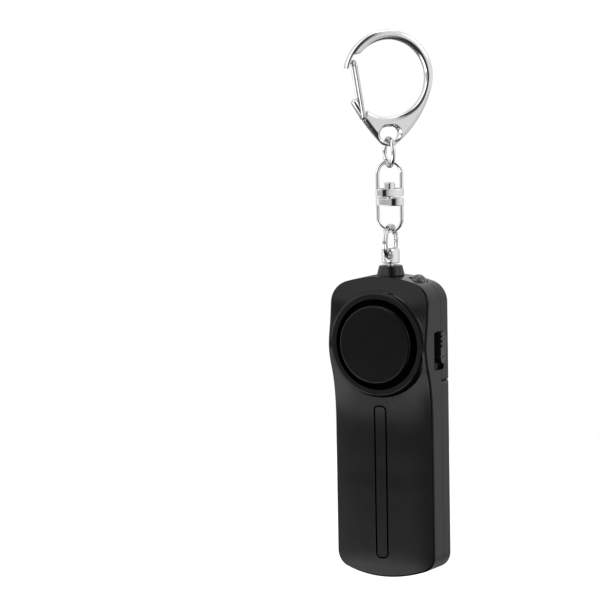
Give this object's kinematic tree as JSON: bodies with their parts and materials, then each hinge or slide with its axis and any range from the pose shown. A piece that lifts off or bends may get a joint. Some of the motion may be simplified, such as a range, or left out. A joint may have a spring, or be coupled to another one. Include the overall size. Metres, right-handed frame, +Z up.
{
  "type": "personal safety alarm",
  "caption": "Slim pull-pin personal safety alarm with round speaker cap, side slide switch and shoulder light, hanging by a swivel chain from a spring-gate snap hook.",
  "frame": {"origin": "inner crown of the snap hook, where the hook rests on what it hangs from", "axes": "+Z up along the chain, front of the housing with its speaker cap towards -Y, +X towards the side with the slide switch and the light"},
  "size_m": [0.0331, 0.0214, 0.1589],
  "materials": {
    "hook_metal": "polished plating with soft bevels",
    "wire_chrome": "polished plated wire",
    "pin_chrome": "polished plating",
    "shell_plastic": "satin moulded plastic",
    "cap_plastic": "smooth satin moulded plastic",
    "switch_plastic": "satin moulded plastic",
    "clear_plastic": "clear moulded lens",
    "brass_sheet": "plain sheet",
    "ceramic_disc": "silvered ceramic",
    "inner_plastic": "moulded plastic",
    "board_laminate": "glass-fibre laminate with green mask",
    "chip_resin": "moulded resin",
    "coil_ferrite": "pressed ferrite with copper winding",
    "spring_steel": "nickel-plated spring steel",
    "cell_jacket": "plain printed jacket without marks",
    "screw_steel": "plated steel"
  },
  "bodies": {
    "hook": {"hook_body": "hook_metal"},
    "gate": {"hook_gate": "wire_chrome"},
    "ring_top": {"top_jump_ring": "wire_chrome"},
    "swivel_top": {"swivel_upper_loop": "wire_chrome"},
    "swivel_bottom": {"swivel_lower_loop": "wire_chrome", "swivel_rivet": "wire_chrome"},
    "ring_bottom": {"lower_split_ring": "wire_chrome"},
    "pin": {"pull_pin": "pin_chrome", "pin_foot": "shell_plastic"},
    "housing": {"front_shell": "shell_plastic", "rear_shell": "shell_plastic", "speaker_cap": "cap_plastic", "siren_diaphragm": "brass_sheet", "siren_ceramic": "ceramic_disc", "siren_clamp_ring": "inner_plastic", "circuit_board": "board_laminate", "driver_chip": "chip_resin", "step_up_coil": "coil_ferrite", "pin_contact_block": "inner_plastic", "pin_contact_leaves": "spring_steel", "light_lens": "clear_plastic", "light_leads": "spring_steel", "slide_switch": "inner_plastic", "battery_cell_left": "cell_jacket", "battery_cell_right": "cell_jacket", "battery_contact_plates": "spring_steel", "battery_springs": "spring_steel", "case_screws": "screw_steel"},
    "switch": {"switch_knob": "switch_plastic", "switch_actuator": "inner_plastic"},
    "door": {"battery_door": "shell_plastic"}
  },
  "joints": [
    {"name": "gate_hinge", "type": "hinge", "parent": "hook", "child": "gate", "pos_m": [-0.00545, -0.00565, -0.0224], "axis": [-0.7193, 0.6947, 0], "range_deg": [0, 26], "stiffness_Nm_per_rad": 0.02, "springref_deg": -11.46},
    {"name": "ring_top_hinge", "type": "hinge", "parent": "hook", "child": "ring_top", "pos_m": [0, 0, -0.03068], "axis": [0.6947, 0.7193, 0], "range_deg": [-25, 25]},
    {"name": "swivel_top_hinge", "type": "hinge", "parent": "ring_top", "child": "swivel_top", "pos_m": [0, 0, -0.03658], "axis": [0.7193, -0.6947, 0], "range_deg": [-60, 60]},
    {"name": "swivel_spin", "type": "hinge", "parent": "swivel_top", "child": "swivel_bottom", "pos_m": [0, 0, -0.0456], "axis": [0, 0, 1], "continuous": true},
    {"name": "ring_bottom_hinge", "type": "hinge", "parent": "swivel_bottom", "child": "ring_bottom", "pos_m": [0, 0, -0.0554], "axis": [0.9903, 0.1392, 0], "range_deg": [-60, 60]},
    {"name": "pin_hinge", "type": "hinge", "parent": "ring_bottom", "child": "pin", "pos_m": [0, 0, -0.06302], "axis": [0.1392, -0.9903, 0], "range_deg": [-60, 60]},
    {"name": "pin_pull", "type": "slide", "parent": "pin", "child": "housing", "axis": [0, 0, -1], "range_m": [0, 0.012]},
    {"name": "switch_slide", "type": "slide", "parent": "housing", "child": "switch", "axis": [0, 0, -1], "range_m": [0, 0.0017]},
    {"name": "door_slide", "type": "slide", "parent": "housing", "child": "door", "axis": [0, 0, -1], "range_m": [0, 0.012]}
  ]
}
